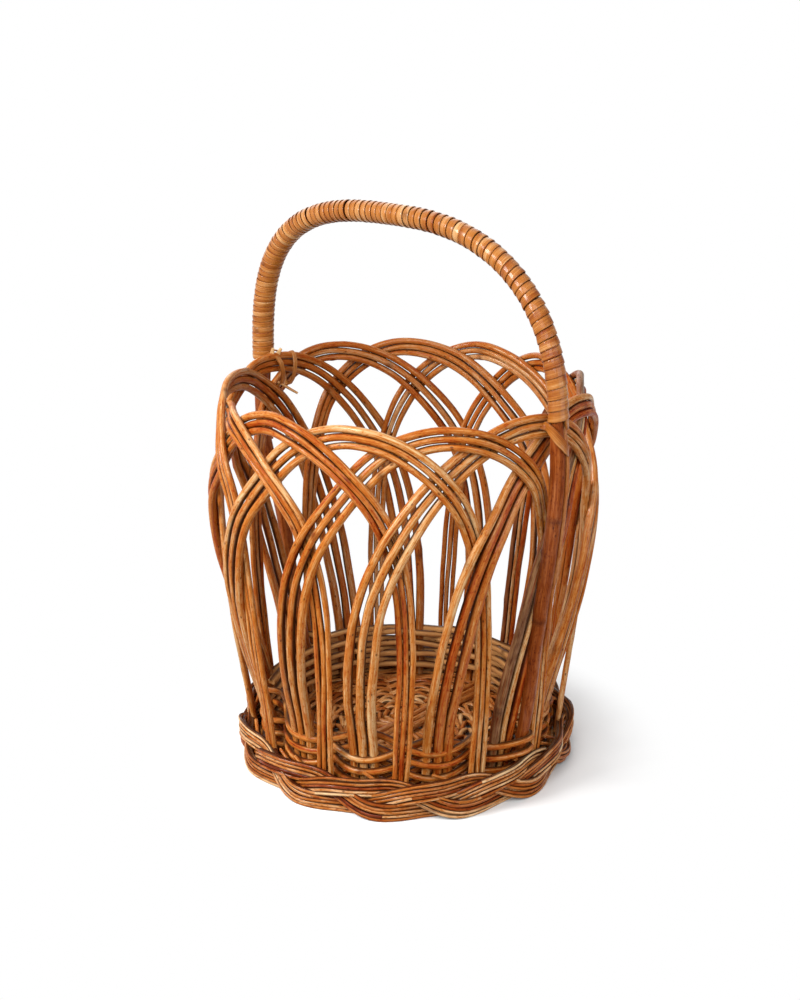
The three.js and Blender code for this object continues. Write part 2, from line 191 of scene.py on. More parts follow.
# the seam colour is painted shade laid where rods touch
archWillow = {
    "dark": "4a0f01", "deep": "8a3003", "middle": "ad6826", "light": "d8c090",
    "grey": "8e6a48", "wornDark": "2c1608", "seamShade": "2a0700", "speck": "3c1506", "inside": "843408",
    "speckShare": 0.20, "insideShare": 0.32, "roughness": 0.46, "coat": 0.3,
}
waleWillow = {**archWillow, "inside": "c9955c", "insideShare": 0.75, "speckShare": 0.12, "coat": 0.25}
plaitWillow = {
    **archWillow, "dark": "3c1002", "deep": "7c3006", "middle": "ac6628", "light": "e8cc9e",
    "speckShare": 0.16,
}
floorWillow = {
    **archWillow, "dark": "4a1704", "deep": "863c0f", "middle": "b26c30", "light": "dcb680",
    "insideShare": 0.0,
}
handleWillow = {
    **archWillow, "dark": "451504", "deep": "75330d", "middle": "945020", "light": "c4884e",
    "insideShare": 0.0,
}
willowStops = ((0.08, "dark"), (0.32, "deep"), (0.56, "middle"), (0.95, "light"))
willowGrain = {  # how often in a metre, along the rod and across it; then detail and roughness
    "streaks": ((22, 700, 700), 3.0, 0.6),
    "fibres": ((90, 3200, 3200), 2.0, 0.5),
    "mottle": ((170, 420, 420), 2.0, 0.5),
    "slow": ((13, 90, 90), 1.0, 0.5),
    "flecks": ((520, 1500, 1500), 2.0, 0.6),
}
speckGrain = (210, 380, 380)


def willowFinish(name, look):  # peeled, stained and varnished rod; grain runs along the rod
    finish = Finish(bpy.data.materials.new(name))
    grain = finish.attribute("grain", "Vector")
    marks = finish.attribute("marks", "Color")
    tone, bud, seamShade = finish.parts(marks)
    worn = marks.also("Alpha")
    streaks = finish.noise(grain, *willowGrain["streaks"]) - 0.5
    fibres = finish.noise(grain, *willowGrain["fibres"]) - 0.5
    mottle = finish.noise(grain, *willowGrain["mottle"]) - 0.5
    slow = finish.noise(grain, *willowGrain["slow"]) - 0.5
    flecks = finish.ease(finish.noise(grain, *willowGrain["flecks"]), 0.54, 0.68)
    shade = tone * 0.6 + streaks * 0.6 + fibres * 0.6 + mottle * 0.25 + slow * 0.35
    colour = finish.ramp(shade - flecks * 0.16 + 0.25, look, willowStops)
    greyed = finish.ease(worn + slow * 0.8 + streaks * 1.2, 0.35, 0.9)
    weathered = finish.ease(streaks * 1.5 + fibres + mottle * 0.8, -0.45, 0.5)
    weathered = finish.blend(weathered, stain(look["wornDark"]), stain(look["grey"]))
    colour = finish.blend(greyed * 0.85, colour, weathered)
    outwards = finish.parts(grain)[1]  # colours the side that faces into the basket: painted shade, darker red, on arch and plait rods; a paler tan on the wale rows
    inside = finish.ease(outwards + fibres * 0.0016, 0.0006, -0.0010) * look["insideShare"]
    colour = finish.blend(inside, colour, stain(look["inside"]))
    cells = {"Vector": finish.stretch(grain, speckGrain), "Scale": 1.0}
    spots = finish.node("ShaderNodeTexVoronoi", None, cells)
    picked = finish.parts(spots.also("Color"))[0] < look["speckShare"]
    specks = finish.ease(spots.also("Distance"), 0.24, 0.10) * picked
    colour = finish.blend(specks * 0.7, colour, stain(look["speck"]))
    colour = finish.blend(bud * 0.75, colour, stain(look["speck"]))
    # painted shade: the sides of a rod that touch its neighbours are darkened, most in the crevices
    creviceShade = finish.ease(seamShade + streaks * 0.6, 0.1, 0.9) * 0.88
    colour = finish.blend(creviceShade, colour, stain(look["seamShade"]))
    rough = look["roughness"] + streaks * 0.35 - fibres * 0.2 + specks * 0.2 + seamShade * 0.2
    gloss = finish.ease(slow + mottle * 0.8, -0.16, 0.14) * look["coat"]
    height = streaks * 0.8 + fibres * 0.6 - specks * 0.4 - flecks * 0.25
    bump = finish.node("ShaderNodeBump", None, {"Strength": 0.4, "Distance": 0.0006, "Height": height})
    constants = {"Coat Roughness": 0.13, "Specular IOR Level": 0.06}
    links = {"Base Color": colour, "Roughness": rough, "Coat Weight": gloss, "Normal": bump}
    return finish.close(constants, links)


# edge: the colour of bud scars, and of painted shade along the edges of skein turns and strips
skeinLook = {"dark": "702c06", "middle": "a36529", "light": "d4b07e", "edge": "421604"}
skeinStops = ((0.1, "dark"), (0.5, "middle"), (0.95, "light"))
skeinGrain = {"fibres": ((45, 2200, 2200), 3.0, 0.6), "mottle": ((60, 240, 240), 2.0, 0.5)}


def skeinFinish(name, look):  # flat split willow, glossy, with long fibres
    finish = Finish(bpy.data.materials.new(name))
    grain = finish.attribute("grain", "Vector")
    tone, bud, seamShade = finish.parts(finish.attribute("marks", "Color"))
    fibres = finish.noise(grain, *skeinGrain["fibres"]) - 0.5
    mottle = finish.noise(grain, *skeinGrain["mottle"]) - 0.5
    colour = finish.ramp(tone * 0.6 + fibres * 0.9 + mottle * 0.8 + 0.2, look, skeinStops)
    colour = finish.blend(bud * 0.6, colour, stain(look["edge"]))
    # painted shade along the edges of each turn and strip, where one laps the next
    colour = finish.blend(seamShade * 0.8, colour, stain(look["edge"]))
    rough = 0.32 + fibres * 0.4 + seamShade * 0.2
    gloss = finish.ease(mottle, -0.2, 0.15) * 0.4
    bump = finish.node("ShaderNodeBump", None, {"Strength": 0.3, "Distance": 0.0005, "Height": fibres})
    constants = {"Coat Roughness": 0.12, "Specular IOR Level": 0.1}
    links = {"Base Color": colour, "Roughness": rough, "Coat Weight": gloss, "Normal": bump}
    return finish.close(constants, links)


finishes = {
    "arch_willow": willowFinish("archWillow", archWillow),
    "wale_willow": willowFinish("waleWillow", waleWillow),
    "plait_willow": willowFinish("plaitWillow", plaitWillow),
    "floor_willow": willowFinish("floorWillow", floorWillow),
    "handle_willow": willowFinish("handleWillow", handleWillow),
    "skein": skeinFinish("splitSkein", skeinLook),
}
print("finishes mixed,", len(finishes))

# Rods: one straight rod is modelled for each number of rings and bent to its path as a copy

rodLook = {
    "block": 60, "longEdge": 1e-4, "budEnds": (0.06, 0.94), "budLength": 1.5, "budSwell": 0.2,
    "seamShadeFrom": 0.68, "flatSeamShadeFrom": 0.80, "flatOut": 0.6, "flatSide": 0.5, "clear": 0.05,
    "grainSpread": 40,
}
stock = {}


def straightRod(rings, sides):
    if (rings, sides) in stock:
        return stock[rings, sides]
    bpy.ops.object.select_all(action="DESELECT")
    bpy.ops.mesh.primitive_cylinder_add(vertices=sides, radius=1, depth=1, location=(0, 0, 0.5))
    rod = bpy.context.object
    bpy.ops.object.transform_apply(location=True, rotation=False, scale=False)
    parts = rings - 1
    while parts > 1:  # cuts every long edge into equal parts, in a few rounds where there are many
        step = next((n for n in range(min(parts, rodLook["block"]), 1, -1) if parts % n == 0), parts)
        bpy.ops.object.mode_set(mode="EDIT")
        bpy.ops.mesh.select_mode(type="EDGE")
        bpy.ops.mesh.select_all(action="DESELECT")
        bpy.ops.object.mode_set(mode="OBJECT")
        heights = [v.co.z for v in rod.data.vertices]
        for edge in rod.data.edges:
            rise = abs(heights[edge.vertices[0]] - heights[edge.vertices[1]])
            edge.select = rise > rodLook["longEdge"]
        bpy.ops.object.mode_set(mode="EDIT")
        bpy.ops.mesh.subdivide(number_cuts=step - 1)
        bpy.ops.object.mode_set(mode="OBJECT")
        parts //= step
    stock[rings, sides] = rod.data
    bpy.data.objects.remove(rod)
    return stock[rings, sides]


def wander(points, amount, wave=90):  # a slow drift to the sides, as no rod is straight
    along = distances(points)
    drift = np.zeros_like(points)
    for axis in range(3):
        for share in (1.0, 0.55, 0.3):
            phase = chance.uniform(0, turn)
            size = amount * share * chance.uniform(0.3, 0.8)
            length = wave * share * chance.uniform(0.8, 1.2)
            drift[:, axis] += size * np.sin(turn * along / length + phase)
    return points + drift


def soften(points, passes):
    points = points.copy()
    for _ in range(passes):
        points[1:-1] = (points[:-2] + 2 * points[1:-1] + points[2:]) / 4
    return points


def note(mesh, name, kind, field, values):  # a value at every point, for the finish
    made = mesh.attributes.new(name, kind, "POINT")
    made.data.foreach_set(field, values.astype(np.float32).ravel())


# seams: how strongly painted shade darkens the two sides of a rod where it touches its neighbours
def bend(name, points, outwards, thickness, tone, look, seamShades=None, flat=None, closed=False, worn=0):
    seamShades = seamShades or look.get("seamShades", (0, 0))
    points, outwards = np.asarray(points, float), np.asarray(outwards, float)
    given = np.linspace(0, 1, len(points))
    count = len(points)
    if count >= rodLook["block"]:
        count = rodLook["block"] * math.ceil((count - 1) / rodLook["block"]) + 1
    even = np.linspace(0, 1, count)

    def spread(values):  # one value for each ring
        return np.interp(even, given, np.broadcast_to(np.asarray(values, float), len(given)))

    points, outwards = sample(even, given, points), sample(even, given, outwards)
    mesh = straightRod(count, look["sides"]).copy()
    mesh.name = name
    straight = np.empty(len(mesh.vertices) * 3, np.float32)
    mesh.vertices.foreach_get("co", straight)
    straight = straight.reshape(-1, 3)
    ring = np.rint(straight[:, 2] * (count - 1)).astype(int)
    spin = np.arctan2(straight[:, 1], straight[:, 0])
    ahead = np.gradient(points, axis=0)
    if closed:
        ahead[0] = ahead[-1] = points[1] - points[-2]
    ahead = unit(ahead)
    out = unit(outwards - (outwards * ahead).sum(1)[:, None] * ahead)
    side = np.cross(ahead, out)
    along = distances(points)
    budMark, swell = np.zeros(len(straight)), np.ones(len(straight))
    for _ in range(look.get("buds", 0)):
        budAt = chance.uniform(*rodLook["budEnds"]) * along[-1]
        facing = (0.5 + 0.5 * np.cos(spin - chance.uniform(0, turn))) ** 3
        near = np.exp(-((along[ring] - budAt) / rodLook["budLength"]) ** 2) * facing
        swell += rodLook["budSwell"] * near
        budMark = np.maximum(budMark, near)
    reachOut, reachSide = np.cos(spin), np.sin(spin)
    seamShadeFrom = rodLook["seamShadeFrom"]
    if flat is not None:  # a flat skein: width over thickness, with rounded edges
        seamShadeFrom = rodLook["flatSeamShadeFrom"]
        reachOut = np.sign(reachOut) * np.abs(reachOut) ** rodLook["flatOut"]
        reachSide = np.sign(reachSide) * np.abs(reachSide) ** rodLook["flatSide"] * spread(flat)[ring]
    half = spread(thickness)[ring] / 2 * swell
    spots = points[ring] + out[ring] * (half * reachOut)[:, None]
    spots += side[ring] * (half * reachSide)[:, None]
    spots[:, 2] = np.maximum(spots[:, 2], rodLook["clear"])
    mesh.vertices.foreach_set("co", (spots * mm).astype(np.float32).ravel())
    offset = chance.uniform(0, rodLook["grainSpread"])
    grain = np.stack((along[ring] * mm + offset, half * reachOut * mm, half * reachSide * mm), 1)
    # the seam mark is painted shade on the sides that touch neighbouring rods
    edge = np.clip((np.abs(np.sin(spin)) - seamShadeFrom) / (1 - seamShadeFrom), 0, 1)
    seamShade = np.where(np.sin(spin) > 0, seamShades[0], seamShades[1]) * edge
    marks = np.stack((spread(tone)[ring], budMark, seamShade, np.full(len(ring), worn)), 1)
    note(mesh, "grain", "FLOAT_VECTOR", "vector", grain)
    note(mesh, "marks", "FLOAT_COLOR", "color", marks)
    rod = bpy.data.objects.new(name, mesh)
    bpy.context.scene.collection.objects.link(rod)
    return rod


def tie(rods, name):  # several rods become one piece
    bpy.ops.object.select_all(action="DESELECT")
    for rod in rods:
        rod.select_set(True)
    bpy.context.view_layer.objects.active = rods[0]
    if len(rods) > 1:
        bpy.ops.object.join()
    rods[0].name = name
    rods[0].data.name = name
    return rods[0]


pieces = []


def place(piece, slot, *nodes):
    piece.data.materials.clear()
    piece.data.materials.append(finishes[slot])
    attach(piece, "root")
    if nodes:
        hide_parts(*nodes)
    pieces.append(piece)


def rodTone(centre=0.52, spread=0.08):
    return clamp(chance.gauss(centre, spread), 0.05, 0.98)


# Wall of arches, in millimetres

wall = {
    "stations": 13, "span": 3, "apexStation": 1.8, "handleStation": 4, "handleLead": -2.2,
    "buttDiameter": 4.7, "tipDiameter": 2.6, "rodGap": 0.3, "layerGap": 0.7, "taper": 0.8,
    "stakeRadius": 72, "bellyRadius": 95, "bellyHeight": 142, "flare": 2.4,
    "rimRadius": 90, "rimHeight": 192.5, "buttSpring": 60, "tipSpring": 100, "buttDistance": 8.7,
    "waleTop": 35, "stakeFoot": 6.4, "tipRadius": 80.5, "tipFoot": 13, "apexLift": 3.6,
    "hold": 0.3, "halvings": 40,
}
station = turn / wall["stations"]
legSteps, risingSteps, fallingSteps = 3, 8, 7
archSteps = 2 * legSteps + risingSteps + fallingSteps
apexStep = legSteps + risingSteps
ranks = {"inner": -1, "middle": 0, "outer": 1}


def stationAt(number):
    return math.radians(wall["handleLead"]) + (number - wall["handleStation"]) * station


def rodDiameter(step):
    return mix(wall["buttDiameter"], wall["tipDiameter"], (step / archSteps) ** wall["taper"])


apexDiameter = rodDiameter(apexStep)
layer = (apexDiameter + wall["layerGap"]) / 2


def wallRadius(z):
    belly, low, high = wall["bellyRadius"], wall["waleTop"], wall["bellyHeight"]
    if z <= low:
        return wall["stakeRadius"]
    if z <= high:
        rise = (z - low) / (high - low)
        return belly - (belly - wall["stakeRadius"]) * (1 - rise) ** wall["flare"]
    fall = (z - high) / (wall["rimHeight"] - high)
    return belly - (belly - wall["rimRadius"]) * fall * fall


presses = {
    "width": 22, "rise": 50, "top": 196, "fall": 60,
    "sides": ({"angle": -4, "depth": 5.0, "low": 32}, {"angle": 181, "depth": 4.5, "low": 60},
              {"angle": 224, "depth": -2.8, "low": 20}),
}


def drawIn(angle, z):  # each leg of the handle presses its side of the wall in, and one side stands out
    total = 0
    for press in presses["sides"]:
        near = hill(between(angle, math.radians(press["angle"])), math.radians(presses["width"]))
        height = band(z, press["low"], presses["rise"], presses["top"], presses["fall"])
        total += press["depth"] * near * height
    return total


def wallLean(z):
    return math.hypot(1, wallRadius(z + 0.5) - wallRadius(z - 0.5))


def buttAngle(rank):
    return -(wall["buttDistance"] + rank * (wall["buttDiameter"] + wall["rodGap"])) / wall["stakeRadius"]


risingStart = buttAngle(1) - wall["buttDiameter"] / 2 / wall["stakeRadius"]
risingEnd = buttAngle(-1) + wall["buttDiameter"] / 2 / wall["stakeRadius"]
tipMiddle = (risingEnd + station + risingStart) / 2
tipHalf = (wall["tipDiameter"] * 1.5 + wall["rodGap"]) / wall["tipRadius"]


def tipAngle(rank):
    spread = rank * (wall["tipDiameter"] + wall["rodGap"]) / wall["tipRadius"]
    return wall["span"] * station + tipMiddle + spread


def apexHeight(rank):
    return wall["rimHeight"] + wall["apexLift"] + rank * (apexDiameter + wall["rodGap"])


def risingArc(rank, t):
    angle = mix(buttAngle(rank), wall["apexStation"] * station, 1 - math.cos(t))
    return angle, mix(wall["buttSpring"], apexHeight(rank), math.sin(t))


def fallingArc(rank, t):
    angle = mix(tipAngle(rank), wall["apexStation"] * station, 1 - math.cos(t))
    return angle, mix(wall["tipSpring"], apexHeight(rank), math.sin(t))


def turnAt(spring, rank, z):
    return math.asin(clamp((z - spring) / (apexHeight(rank) - spring)))


def crossingHeight(rising, falling, apart):  # where a rising and a falling rod meet, some stations apart
    low, high = wall["waleTop"], min(apexHeight(rising), apexHeight(falling))
    for _ in range(wall["halvings"]):
        z = (low + high) / 2
        up = risingArc(rising, turnAt(wall["buttSpring"], rising, z))[0]
        down = fallingArc(falling, turnAt(wall["tipSpring"], falling, z))[0]
        low, high = (z, high) if up < down - apart * station else (low, z)
    return (low + high) / 2


def risingStep(rank, z):
    return legSteps + turnAt(wall["buttSpring"], rank, z) / quarter * risingSteps


def fallingStep(rank, z):
    return apexStep + (1 - turnAt(wall["tipSpring"], rank, z) / quarter) * fallingSteps


def archPlace(rank, step):
    legTop = legSteps - 1
    if step <= 1:
        return buttAngle(rank), mix(wall["stakeFoot"], wall["waleTop"], step)
    if step <= legSteps:
        return buttAngle(rank), mix(wall["waleTop"], wall["buttSpring"], (step - 1) / legTop)
    if step <= apexStep:
        return risingArc(rank, (step - legSteps) / risingSteps * quarter)
    fallen = step - apexStep - fallingSteps
    if fallen <= 0:
        return fallingArc(rank, -fallen / fallingSteps * quarter)
    if fallen <= legTop:
        return tipAngle(rank), mix(wall["tipSpring"], wall["waleTop"], fallen / legTop)
    return tipAngle(rank), mix(wall["waleTop"], wall["tipFoot"], fallen - legTop)


def layerStops(rank):  # how far a rod stands out from the middle of the wall, along it
    span, hold = wall["span"], wall["hold"]
    risingLow = risingStep(rank, crossingHeight(rank, 1, span))
    risingMid = risingStep(rank, crossingHeight(rank, -1, span - 1))
    risingHigh = risingStep(rank, crossingHeight(rank, 1, 1))
    fallingHigh = fallingStep(rank, crossingHeight(1, rank, 1))
    fallingMid = fallingStep(rank, crossingHeight(-1, rank, span - 1))
    fallingLow = fallingStep(rank, crossingHeight(1, rank, span))
    tipOut = wall["tipRadius"] - wall["stakeRadius"]
    steps = [0, 1, legSteps, mix(risingLow, risingMid, hold), mix(risingMid, risingLow, hold),
             mix(risingHigh, fallingHigh, hold), mix(fallingHigh, risingHigh, hold),
             mix(fallingMid, fallingLow, hold), mix(fallingLow, fallingMid, hold),
             apexStep + fallingSteps, archSteps - 1, archSteps]
    offsets = [0, 0, layer, layer, -layer, -layer, layer, layer, -layer, -layer, tipOut, tipOut]
    return steps, offsets


def stopAt(stops, step):
    steps, offsets = stops
    after = next(i for i, s in enumerate(steps) if s >= step)
    if after == 0:
        return offsets[0]
    share = (step - steps[after - 1]) / (steps[after] - steps[after - 1])
    return mix(offsets[after - 1], offsets[after], smooth(share))


arch = {
    "rings": 121, "sides": 14, "soft": 12, "legRings": 38, "legBlend": 20, "legSoft": 90, "wander": 0.34,
    "uneven": 0.05, "waves": 5, "girth": (1.0, 1.08), "buds": 5, "seamShade": 1.0, "outerSeamShade": 0.1,
    # own tones of single rods; those of arch 06 are also lifted as painted light, to brighten the right
    # side of the basket
    "tones": {"05_outer": 0.34, "05_middle": 0.72, "05_inner": 0.2, "04_inner": 0.35, "04_middle": 0.3,
              "06_outer": 0.44, "06_middle": 0.5, "06_inner": 0.48},
    "worn": {"05_outer": 0.9, "04_outer": 0.2, "06_inner": 0.2, "06_outer": 0, "03_outer": 0.1},
    "wornElsewhere": (0, 0, 0, 0.12, 0.25),
    "girths": {"04_inner": 1.14, "04_middle": 1.12, "05_middle": 0.86, "05_outer": 1.1},
    "drops": {11: 5.5}, "dropFrom": 110, "dropRise": 85,
    "sways": {0: (3, 0), 1: (4, 0), 11: (0, 5.0), 12: (0, 3.5)}, "swayBand": (40, 35, 195, 30),
}


def archRod(number, rankName):
    rank = ranks[rankName]
    label = "%02d_%s" % (number + 1, rankName)
    stops = layerStops(rank)
    points, outs, girths = [], [], []
    for step in np.linspace(0, archSteps, arch["rings"]):
        angle, z = archPlace(rank, step)
        angle += stationAt(number)
        sway = arch["sways"].get(number, (0, 0))[0 if step < apexStep else 1]
        angle += math.radians(sway) * band(z, *arch["swayBand"])
        z -= arch["drops"].get(number, 0) * smooth((z - arch["dropFrom"]) / arch["dropRise"])
        radius = wallRadius(z) + stopAt(stops, step) * wallLean(z) - drawIn(angle, z)
        points.append(polar(radius, angle, z))
        outs.append(polar(1, angle, 0))
        girths.append(rodDiameter(step))
    phase = chance.uniform(0, turn)
    waves = np.sin(np.linspace(0, arch["waves"] * turn, len(girths)) + phase)
    girth = chance.uniform(*arch["girth"]) * arch["girths"].get(label, 1)
    girths = np.array(girths) * (1 + arch["uneven"] * waves) * girth
    points = soften(np.array(points), arch["soft"])
    straighter = soften(points, arch["legSoft"])
    fromEnd = np.minimum(np.arange(len(points)), np.arange(len(points))[::-1])
    share = np.array([smooth((arch["legRings"] - ring) / arch["legBlend"]) for ring in fromEnd])
    points = wander(mix(points, straighter, share[:, None]), arch["wander"])
    # painted shade: full on a side that touches the next rod, slight on a free side
    seamShades = [arch["seamShade"] if touching else arch["outerSeamShade"] for touching in (rank > -1, rank < 1)]
    tone = arch["tones"].get(label, rodTone())
    worn = arch["worn"].get(label, chance.choice(arch["wornElsewhere"]))
    return bend("willow_arch_" + label, points, outs, girths, tone, arch, seamShades, worn=worn)


for number in range(wall["stations"]):
    for rankName in ranks:
        rod = archRod(number, rankName)
        place(rod, "arch_willow", "arch_%02d_%s" % (number + 1, rankName))
print("arches bent,", len(pieces))

# Weave round the foot

oppositeStation = wall["handleStation"] + 6
rightFoot = stationAt(wall["handleStation"]) + (risingEnd + tipMiddle - tipHalf) / 2
leftFoot = stationAt(oppositeStation) + (tipMiddle + tipHalf + station + risingStart) / 2
legs = {  # how far out the legs of the handle stand at each height, and where they pass the weave
    "heights": (6, 20, 53, 93, 133, 150, 170, 192),
    "radii": (75.0, 77.2, 85.3, 95.0, 102.5, 103.4, 101.5, 98.0),
    "angles": (-0.0265, 3.091),
}
wale = {
    "turns": 8, "foot": 9.6, "pitch": 3.3, "diameter": 3.7, "dip": 2.8, "swing": 5.6, "handleSwing": 0.6,
    "stepsPerGroup": 12, "joins": (35, 70), "joinGap": 0.04, "endShort": 0.5, "sides": 12,
    "wander": 0.7, "wave": 70, "uneven": 0.07, "waves": 9, "tone": (0.42, 0.05), "seamShades": (1, 1),
    "buds": 14,
    "legCover": 5.1, "legWidth": 0.11, "legLift": 2.2, "legSide": 0.5, "legFrom": 16, "legRise": 4,
}


def legRadius(z):
    return np.interp(z, legs["heights"], legs["radii"])


groupMiddles = []
for number in range(wall["stations"]):
    low, high = stationAt(number) + risingStart, stationAt(number) + risingEnd
    high = rightFoot if number == wall["handleStation"] else high
    low = leftFoot if number == oppositeStation + 1 else low
    groupMiddles.append((low + high) / 2)


def waleAngle(count):  # angle at a place counted in groups, through all the turns
    whole = math.floor(count)
    laps = [divmod(number, wall["stations"]) for number in (whole, whole + 1)]
    before, after = [groupMiddles[group] + lap * turn for lap, group in laps]
    return mix(before, after, count - whole)


def pastLeg(angle, z, side):  # a row that runs outside goes round the leg of the handle above the plait
    bulge = sum(hill(between(angle, legAngle), wale["legWidth"]) for legAngle in legs["angles"])
    return bulge * smooth(side / wale["legSide"]) * smooth((z - wale["legFrom"]) / wale["legRise"])


def waleWeaver(first, last):
    points, outs = [], []
    for count in np.linspace(first, last, int(round((last - first) * wale["stepsPerGroup"])) + 1):
        angle = waleAngle(count)
        atHandle = round(count) % wall["stations"] in (wall["handleStation"], oppositeStation + 1)
        swing = wale["swing"] + wale["handleSwing"] * atHandle
        side = math.cos(math.pi * count)
        z = wale["foot"] + wale["pitch"] * count / wall["stations"] - wale["dip"] * side
        share = pastLeg(angle, z, side)
        z += wale["legLift"] * share
        radius = wall["stakeRadius"] + swing * side
        radius = mix(radius, max(radius, legRadius(z) + wale["legCover"]), share)
        points.append(polar(radius, angle, z))
        outs.append(polar(1, angle, 0))
    return points, outs


waleParts = [0, *wale["joins"], wale["turns"] * wall["stations"] - wale["endShort"]]
for index in range(len(waleParts) - 1):
    points, outs = waleWeaver(waleParts[index], waleParts[index + 1] - wale["joinGap"])
    points = wander(np.array(points), wale["wander"], wale["wave"])
    waves = np.sin(np.linspace(0, wale["waves"] * turn, len(points)) + index)
    girths = wale["diameter"] * (1 + wale["uneven"] * waves)
    rod = bend("willow_wale_%d" % (index + 1), points, outs, girths, rodTone(*wale["tone"]), wale)
    place(rod, "wale_willow", "wale_weaver_%d" % (index + 1))
print("weave laid round the foot")

# Plaited foot

plait = {
    "strands": 3, "height": 21, "radius": 85.0, "swing": 2.7, "climb": 5.7, "lobe": 1.6, "steps": 12,
    "layers": ((5, 1.0), (4, -0.9)), "rodDiameter": 1.98, "rodGap": 0.08, "girth": (0.88, 1.14),
    "taper": (1.06, 0.94), "lowest": 0.45, "wander": 0.22, "wave": 60, "fray": 0.25, "frayWaves": (3, 9),
    "lengths": (3, 4.5, 6), "shortest": 0.02, "overlap": 0.03, "tone": (0.48, 0.24), "seamShades": (1.8, 1.8),
    "buds": 2, "sides": 10,
}


def strandPlace(index, angle):
    phase = turn * (wall["stations"] * angle / turn + index) / plait["strands"]
    up = math.sin(phase)
    climb = plait["lobe"] * up - (plait["lobe"] - 1) * up ** 3
    radius = plait["radius"] + plait["swing"] * math.sin(2 * phase)
    return polar(radius, angle, plait["height"] / 2 + plait["climb"] * climb)


def strandRod(index, across, lift, first, last):
    count = max(8, int((last - first) / station * plait["steps"])) + 1
    angles = np.linspace(first, last, count)
    middles = np.array([strandPlace(index, a) for a in angles])
    outs = np.array([polar(1, a, 0) for a in angles])
    sideways = np.cross(unit(np.gradient(middles, axis=0)), outs)
    drift = np.sin(angles * chance.uniform(*plait["frayWaves"]) + chance.uniform(0, turn))
    points = middles + sideways * (across + plait["fray"] * drift)[:, None] + outs * lift
    points[:, 2] = np.clip(points[:, 2], plait["rodDiameter"] * plait["lowest"], None)
    girths = plait["rodDiameter"] * chance.uniform(*plait["girth"]) * np.linspace(*plait["taper"], count)
    points = wander(points, plait["wander"], plait["wave"])
    points[:, 2] = np.maximum(points[:, 2], girths / 2)
    return bend("strandRod", points, outs, girths, rodTone(*plait["tone"]), plait)


def plaitStrand(index):  # two layers of rods, each rod a few stations long
    rods = []
    for rows, lift in plait["layers"]:
        for row in range(rows):
            across = (row - (rows - 1) / 2) * (plait["rodDiameter"] + plait["rodGap"])
            start = chance.uniform(0, plait["strands"]) * station
            end = start + turn
            while start < end - plait["shortest"]:
                stop = min(start + chance.choice(plait["lengths"]) * station, end)
                first, last = start - plait["overlap"], stop + plait["overlap"]
                rods.append(strandRod(index, across, lift, first, last))
                start = stop
    return tie(rods, "willow_plait_%d" % (index + 1))


for index in range(plait["strands"]):
    place(plaitStrand(index), "plait_willow", "plait_strand_%d" % (index + 1))

cuts = {
    "counts": (1, 1, 2), "length": 15, "lengths": (0.7, 1.2), "turned": (0.06, 0.30), "diameter": 1.9,
    "girths": (0.8, 1.1), "radius": 81.5, "lowOut": 1.5, "highIn": 0.5, "height": 17.0, "drop": 3,
    "rise": (2.5, 5.5), "rings": 5, "sides": 8, "tone": 0.5,
}
ends = []
for number in range(wall["stations"]):
    for _ in range(chance.choice(cuts["counts"])):
        angle = stationAt(number) + tipMiddle + chance.uniform(*cuts["turned"])
        reach = cuts["length"] * chance.uniform(*cuts["lengths"])
        lowAngle, lowHeight = angle + reach / cuts["radius"], cuts["height"] - cuts["drop"]
        low = polar(cuts["radius"] + cuts["lowOut"], lowAngle, lowHeight)
        highHeight = cuts["height"] + chance.uniform(*cuts["rise"])
        high = polar(cuts["radius"] - cuts["highIn"], angle, highHeight)
        points = np.array([mix(low, high, t) for t in np.linspace(0, 1, cuts["rings"])])
        outs = [polar(1, angle, 0)] * len(points)
        girth = cuts["diameter"] * chance.uniform(*cuts["girths"])
        ends.append(bend("cutEnd", points, outs, girth, rodTone(cuts["tone"]), cuts))
place(tie(ends, "willow_plait_ends"), "plait_willow")
print("foot plaited")

# Floor

sticks = {
    "lift": 2.4, "diameter": 4.0, "gap": 0.4, "count": 3, "edge": 64.8, "rings": 49, "wander": 0.2,
    "tone": 0.5, "seamShades": (0.5, 0.5), "buds": 2, "sides": 10,
}
rounds = {
    "heart": 17, "rows": 11, "border": 4, "borderHeight": 4.6, "borderWave": 0.7, "pitch": 4.15,
    "diameter": 2.7, "wave": 1.8, "slant": 1.3, "steps": 6, "tone": (0.55, 0.12), "seamShades": (0.9, 0.9),
    "buds": 4, "sides": 8,
}
spokes = {"count": 24, "diameter": 2.6, "span": (9, 64.5), "rings": 13, "tone": 0.45, "sides": 8}
layerStep = sticks["diameter"] + sticks["gap"]
stickHeight = sticks["lift"] + sticks["diameter"] / 2
floorMiddle = stickHeight + layerStep / 2
upwards = (0, 0, 1)
for level, levelName in enumerate(("under", "over")):
    for row in range(sticks["count"]):
        offset = (row - 1) * layerStep
        reach = math.sqrt(sticks["edge"] ** 2 - (abs(offset) + sticks["diameter"] / 2) ** 2)
        sweep = np.linspace(-reach, reach, sticks["rings"])
        z = stickHeight + level * layerStep
        spots = [(t, offset, z) if level == 0 else (offset, t, z) for t in sweep]
        points = wander(np.array(spots, float), sticks["wander"])
        stick = bend("willow_stick_%s_%d" % (levelName, row + 1), points, [upwards] * len(points),
                     sticks["diameter"], rodTone(sticks["tone"]), sticks)
        place(stick, "floor_willow", "floor_stick_%s_%d" % (levelName, row + 1))


